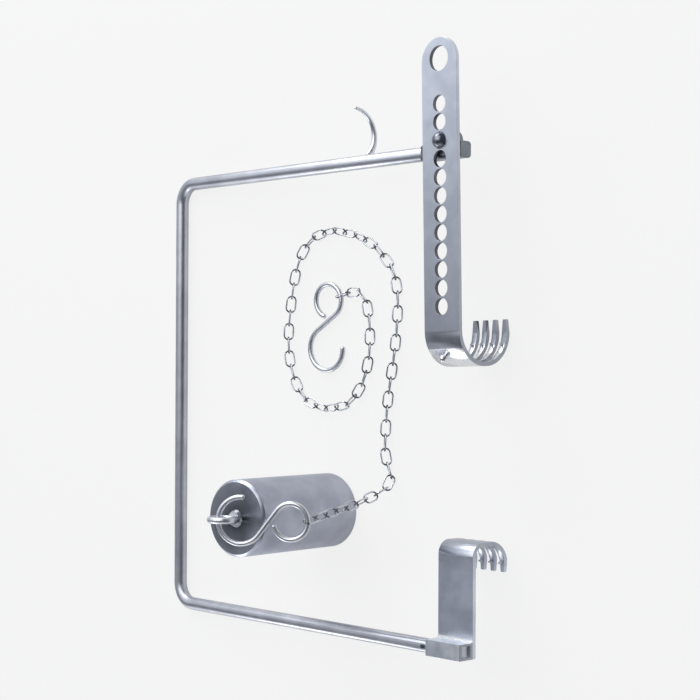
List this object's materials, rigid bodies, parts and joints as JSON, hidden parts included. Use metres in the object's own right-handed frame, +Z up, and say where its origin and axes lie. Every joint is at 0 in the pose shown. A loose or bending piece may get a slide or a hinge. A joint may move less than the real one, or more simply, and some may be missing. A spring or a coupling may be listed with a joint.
{
  "type": "self retaining retractor",
  "caption": "Surgical retractor: a bent rod frame with two pronged blades, one swivelling on a stud by its index holes, and a weight with S hooks and a chain.",
  "frame": {"origin": "centre of the bounding box, at the surface that the weight, the chain and the frame rest on", "axes": "+X along the spine from the arm with the socket to the arm with the stud, +Y from the blades towards the spine, +Z up from the surface"},
  "size_m": [0.3358, 0.2624, 0.1003],
  "materials": {
    "satin_steel": "satin",
    "bright_steel": "polished",
    "weight_steel": "fine satin, turned",
    "braze": "smooth, bright"
  },
  "bodies": {
    "frame": {"frame_rod": "satin_steel", "stop_pin": "satin_steel", "stud_block": "satin_steel", "index_stud": "bright_steel", "arm_hook": "satin_steel"},
    "perforated": {"perforated_blade": "satin_steel", "perforated_pegs": "satin_steel", "blade_knob": "satin_steel"},
    "socket": {"blade_socket": "satin_steel", "socket_blade": "satin_steel", "socket_pegs": "satin_steel", "braze_seam": "braze"},
    "weight": {"weight_cylinder": "weight_steel", "eye_bolt": "bright_steel"},
    "weight_hook": {"weight_s_hook": "bright_steel"},
    "chain_1": {"chain_1": "bright_steel"},
    "chain_2": {"chain_2": "bright_steel"},
    "chain_3": {"chain_3": "bright_steel"},
    "chain_4": {"chain_4": "bright_steel"},
    "chain_5": {"chain_5": "bright_steel"},
    "chain_6": {"chain_6": "bright_steel"},
    "chain_7": {"chain_7": "bright_steel"},
    "chain_8": {"chain_8": "bright_steel"},
    "end_hook": {"end_s_hook": "bright_steel"}
  },
  "joints": [
    {"name": "blade_swivel", "type": "hinge", "parent": "frame", "child": "perforated", "pos_m": [0.11191, -0.11207, 0.03417], "axis": [0, 0.1251, 0.9921], "range_deg": [-3, 45]},
    {"name": "socket_slide", "type": "slide", "parent": "frame", "child": "socket", "axis": [0, -0.9921, 0.1251], "range_m": [0, 0.024]},
    {"name": "weight_lift", "type": "slide", "parent": "frame", "child": "weight", "axis": [0, 0, 1], "range_m": [0, 0.1]},
    {"name": "hook_swing", "type": "hinge", "parent": "weight", "child": "weight_hook", "pos_m": [-0.0968, 0.00324, 0.09393], "axis": [-1, 0, 0], "range_deg": [0, 40]},
    {"name": "chain_hang", "type": "hinge", "parent": "weight_hook", "child": "chain_1", "pos_m": [-0.0968, -0.04313, 0.07039], "axis": [-1, 0, 0], "range_deg": [-40, 0]},
    {"name": "chain_bend_1", "type": "hinge", "parent": "chain_1", "child": "chain_2", "pos_m": [-0.08116, -0.04723, 0.00727], "axis": [0, 0, 1], "range_deg": [-6, 6]},
    {"name": "chain_bend_2", "type": "hinge", "parent": "chain_2", "child": "chain_3", "pos_m": [-0.02562, -0.04506, 0.00257], "axis": [0, 0, 1], "range_deg": [-6, 4]},
    {"name": "chain_bend_3", "type": "hinge", "parent": "chain_3", "child": "chain_4", "pos_m": [0.0408, -0.04965, 0.00255], "axis": [0, 0, 1], "range_deg": [-5, 3]},
    {"name": "chain_bend_4", "type": "hinge", "parent": "chain_4", "child": "chain_5", "pos_m": [0.0707, -0.00268, 0.00255], "axis": [0, 0, 1], "range_deg": [-5, 3]},
    {"name": "chain_bend_5", "type": "hinge", "parent": "chain_5", "child": "chain_6", "pos_m": [0.02316, 0.03305, 0.00255], "axis": [0, 0, 1], "range_deg": [-5, 5]},
    {"name": "chain_bend_6", "type": "hinge", "parent": "chain_6", "child": "chain_7", "pos_m": [-0.03114, 0.01945, 0.00255], "axis": [0, 0, 1], "range_deg": [-3, 5]},
    {"name": "chain_bend_7", "type": "hinge", "parent": "chain_7", "child": "chain_8", "pos_m": [-0.00557, -0.02981, 0.00255], "axis": [0, 0, 1], "range_deg": [-5, 5]},
    {"name": "end_hook_turn", "type": "hinge", "parent": "chain_8", "child": "end_hook", "pos_m": [0.03091, -0.00622, 0.00332], "axis": [0, 0, 1], "range_deg": [-8, 8]}
  ],
  "couplings": [
    {"joint": "chain_hang", "follows": "hook_swing", "ratio": -1}
  ]
}
